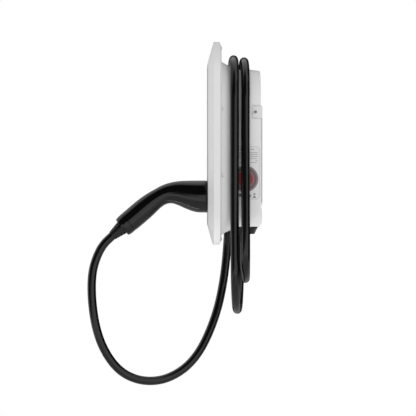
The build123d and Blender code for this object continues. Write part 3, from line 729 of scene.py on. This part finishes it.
def buildSky():
    world = bpy.data.worlds.new("studioSky")
    scene.world = world
    world.use_nodes = True
    tree = world.node_tree
    tree.nodes.clear()
    link = tree.links.new
    out = addNode(tree, "ShaderNodeOutputWorld")
    rays = addNode(tree, "ShaderNodeLightPath")
    place = addNode(tree, "ShaderNodeTexCoord")
    level = addNode(tree, "ShaderNodeVectorMath", operation="MULTIPLY")
    level.inputs[1].default_value = (1.0, 1.0, 0.0)
    link(place.outputs["Generated"], level.inputs[0])

    def along(source, way):
        product = addNode(tree, "ShaderNodeVectorMath", operation="DOT_PRODUCT")
        product.inputs[1].default_value = way
        link(source, product.inputs[0])
        return product.outputs["Value"]

    def edge(source, limits, before, after):
        step = addNode(tree, "ShaderNodeMapRange", interpolation_type="SMOOTHSTEP")
        setSockets(step, From_Min=limits[0], From_Max=limits[1], To_Min=before, To_Max=after)
        link(source, step.inputs["Value"])
        return step.outputs["Result"]

    def combine(operation, first, second):
        result = addNode(tree, "ShaderNodeMath", operation=operation)
        link(first, result.inputs[0])
        link(second, result.inputs[1])
        return result.outputs["Value"]

    times = functools.partial(combine, "MULTIPLY")
    largest = functools.partial(combine, "MAXIMUM")

    def darkGap(facts):
        lean = addNode(tree, "ShaderNodeVectorMath", operation="ADD")
        lean.inputs[1].default_value = facts["lean"]
        turn = addNode(tree, "ShaderNodeVectorMath", operation="NORMALIZE")
        link(level.outputs["Vector"], lean.inputs[0])
        link(lean.outputs["Vector"], turn.inputs[0])
        sides = edge(along(turn.outputs["Vector"], facts["heading"]), facts["spread"], 0.0, 1.0)
        foot = edge(along(place.outputs["Generated"], facts["footSlant"]), facts["foot"], 0.0, 1.0)
        head = edge(along(place.outputs["Generated"], facts["headSlant"]), facts["head"], 1.0, 0.0)
        share = addNode(tree, "ShaderNodeMapRange")
        setSockets(share, To_Min=facts["soft"], To_Max=facts["gloss"])
        link(rays.outputs["Is Glossy Ray"], share.inputs["Value"])
        return times(times(sides, times(foot, head)), share.outputs["Result"])

    gap = functools.reduce(largest, [darkGap(facts) for facts in studio["gaps"].values()])
    tone = addNode(tree, "ShaderNodeMix", data_type="RGBA")
    setSockets(tone, A=studio["white"], B=studio["gapTone"])
    link(gap, tone.inputs["Factor"])
    soft = addNode(tree, "ShaderNodeBackground")
    setSockets(soft, Strength=studio["strength"])
    link(tone.outputs["Result"], soft.inputs["Color"])
    # The camera and clear reflections see plain white
    backdrop = addNode(tree, "ShaderNodeBackground")
    setSockets(backdrop, Color=studio["white"], Strength=1.0)
    clear = addNode(tree, "ShaderNodeMath", operation="SUBTRACT")
    clear.inputs[0].default_value = 1.0
    link(gap, clear.inputs[1])
    mirrored = times(rays.outputs["Is Glossy Ray"], clear.outputs["Value"])
    seen = largest(rays.outputs["Is Camera Ray"], rays.outputs["Is Transmission Ray"])
    choose = addNode(tree, "ShaderNodeMixShader")
    link(largest(seen, mirrored), choose.inputs["Fac"])
    link(soft.outputs["Background"], choose.inputs[1])
    link(backdrop.outputs["Background"], choose.inputs[2])
    link(choose.outputs["Shader"], out.inputs["Surface"])


def placeHolder(name, data, facts):
    holder = bpy.data.objects.new(name, data)
    gaze = Vector(facts["aim"]) - Vector(facts["place"])
    holder.location = facts["place"]
    holder.rotation_euler = gaze.to_track_quat("-Z", "Y").to_euler()
    scene.collection.objects.link(holder)
    return holder


def addLamp(name, facts):
    lamp = bpy.data.lights.new(name, "AREA")
    lamp.shape = "SQUARE"
    lamp.size = facts["size"]
    lamp.energy = facts["power"]
    holder = placeHolder(name, lamp, facts)
    holder.visible_camera = False
    holder.visible_glossy = facts["mirrored"]


buildSky()
for name, facts in studio["lamps"].items():
    addLamp(name, facts)
print("studio lit")

# Camera: side view from the right, far away
lens = {"place": (3.0, -0.1382, -0.1026), "aim": (0.0, -0.0891, -0.0992), "length": 153.26, "sensor": 36.0}
eye = bpy.data.cameras.new("sideCamera")
eye.lens = lens["length"]
eye.sensor_width = lens["sensor"]
scene.camera = placeHolder("sideCamera", eye, lens)
print("camera set")

bpy.context.view_layer.update()
